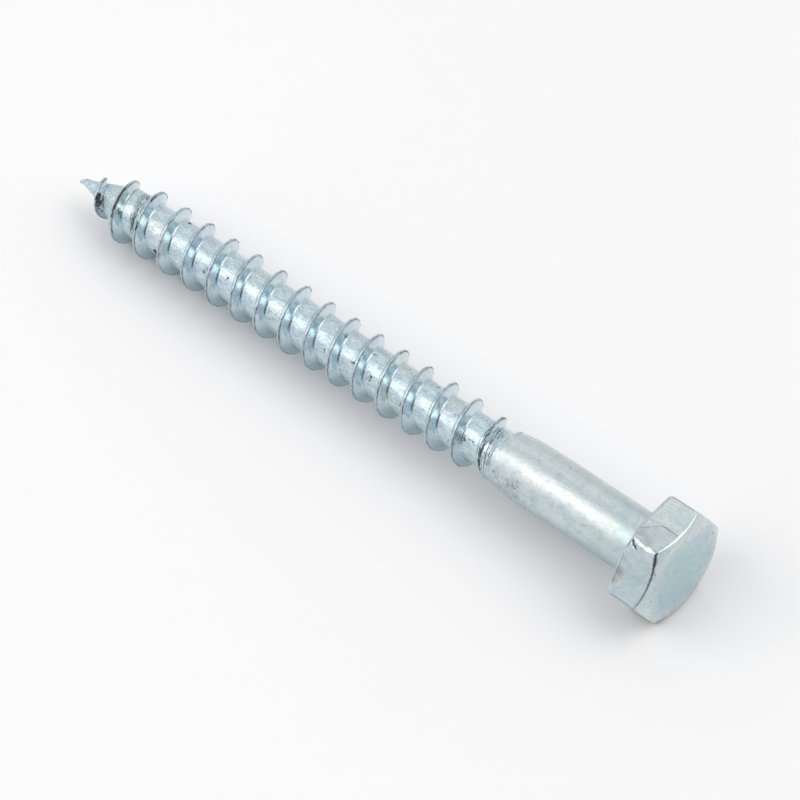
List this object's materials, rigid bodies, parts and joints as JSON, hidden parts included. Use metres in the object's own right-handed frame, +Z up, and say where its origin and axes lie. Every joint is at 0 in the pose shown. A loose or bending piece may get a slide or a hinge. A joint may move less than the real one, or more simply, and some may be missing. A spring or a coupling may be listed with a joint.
{
  "type": "hex head wood screw",
  "caption": "Zinc plated coach screw: hexagonal head, plain shank, coarse right-hand wood thread and gimlet point, lying at rest.",
  "frame": {"origin": "on the surface that the screw lies on, under the middle of its bounding box", "axes": "+Z up; +X from the tip towards the head, level, so the screw's own axis rises 2 degrees from +X towards the head; one flat of the hexagon faces down"},
  "size_m": [0.1148, 0.019, 0.0168],
  "materials": {
    "zinc_plated_steel": "bright bluish zinc plating over rolled and forged steel, lightly scratched and pitted, with darker crests"
  },
  "bodies": {
    "root": {"wood_screw": "zinc_plated_steel"}
  },
  "joints": []
}
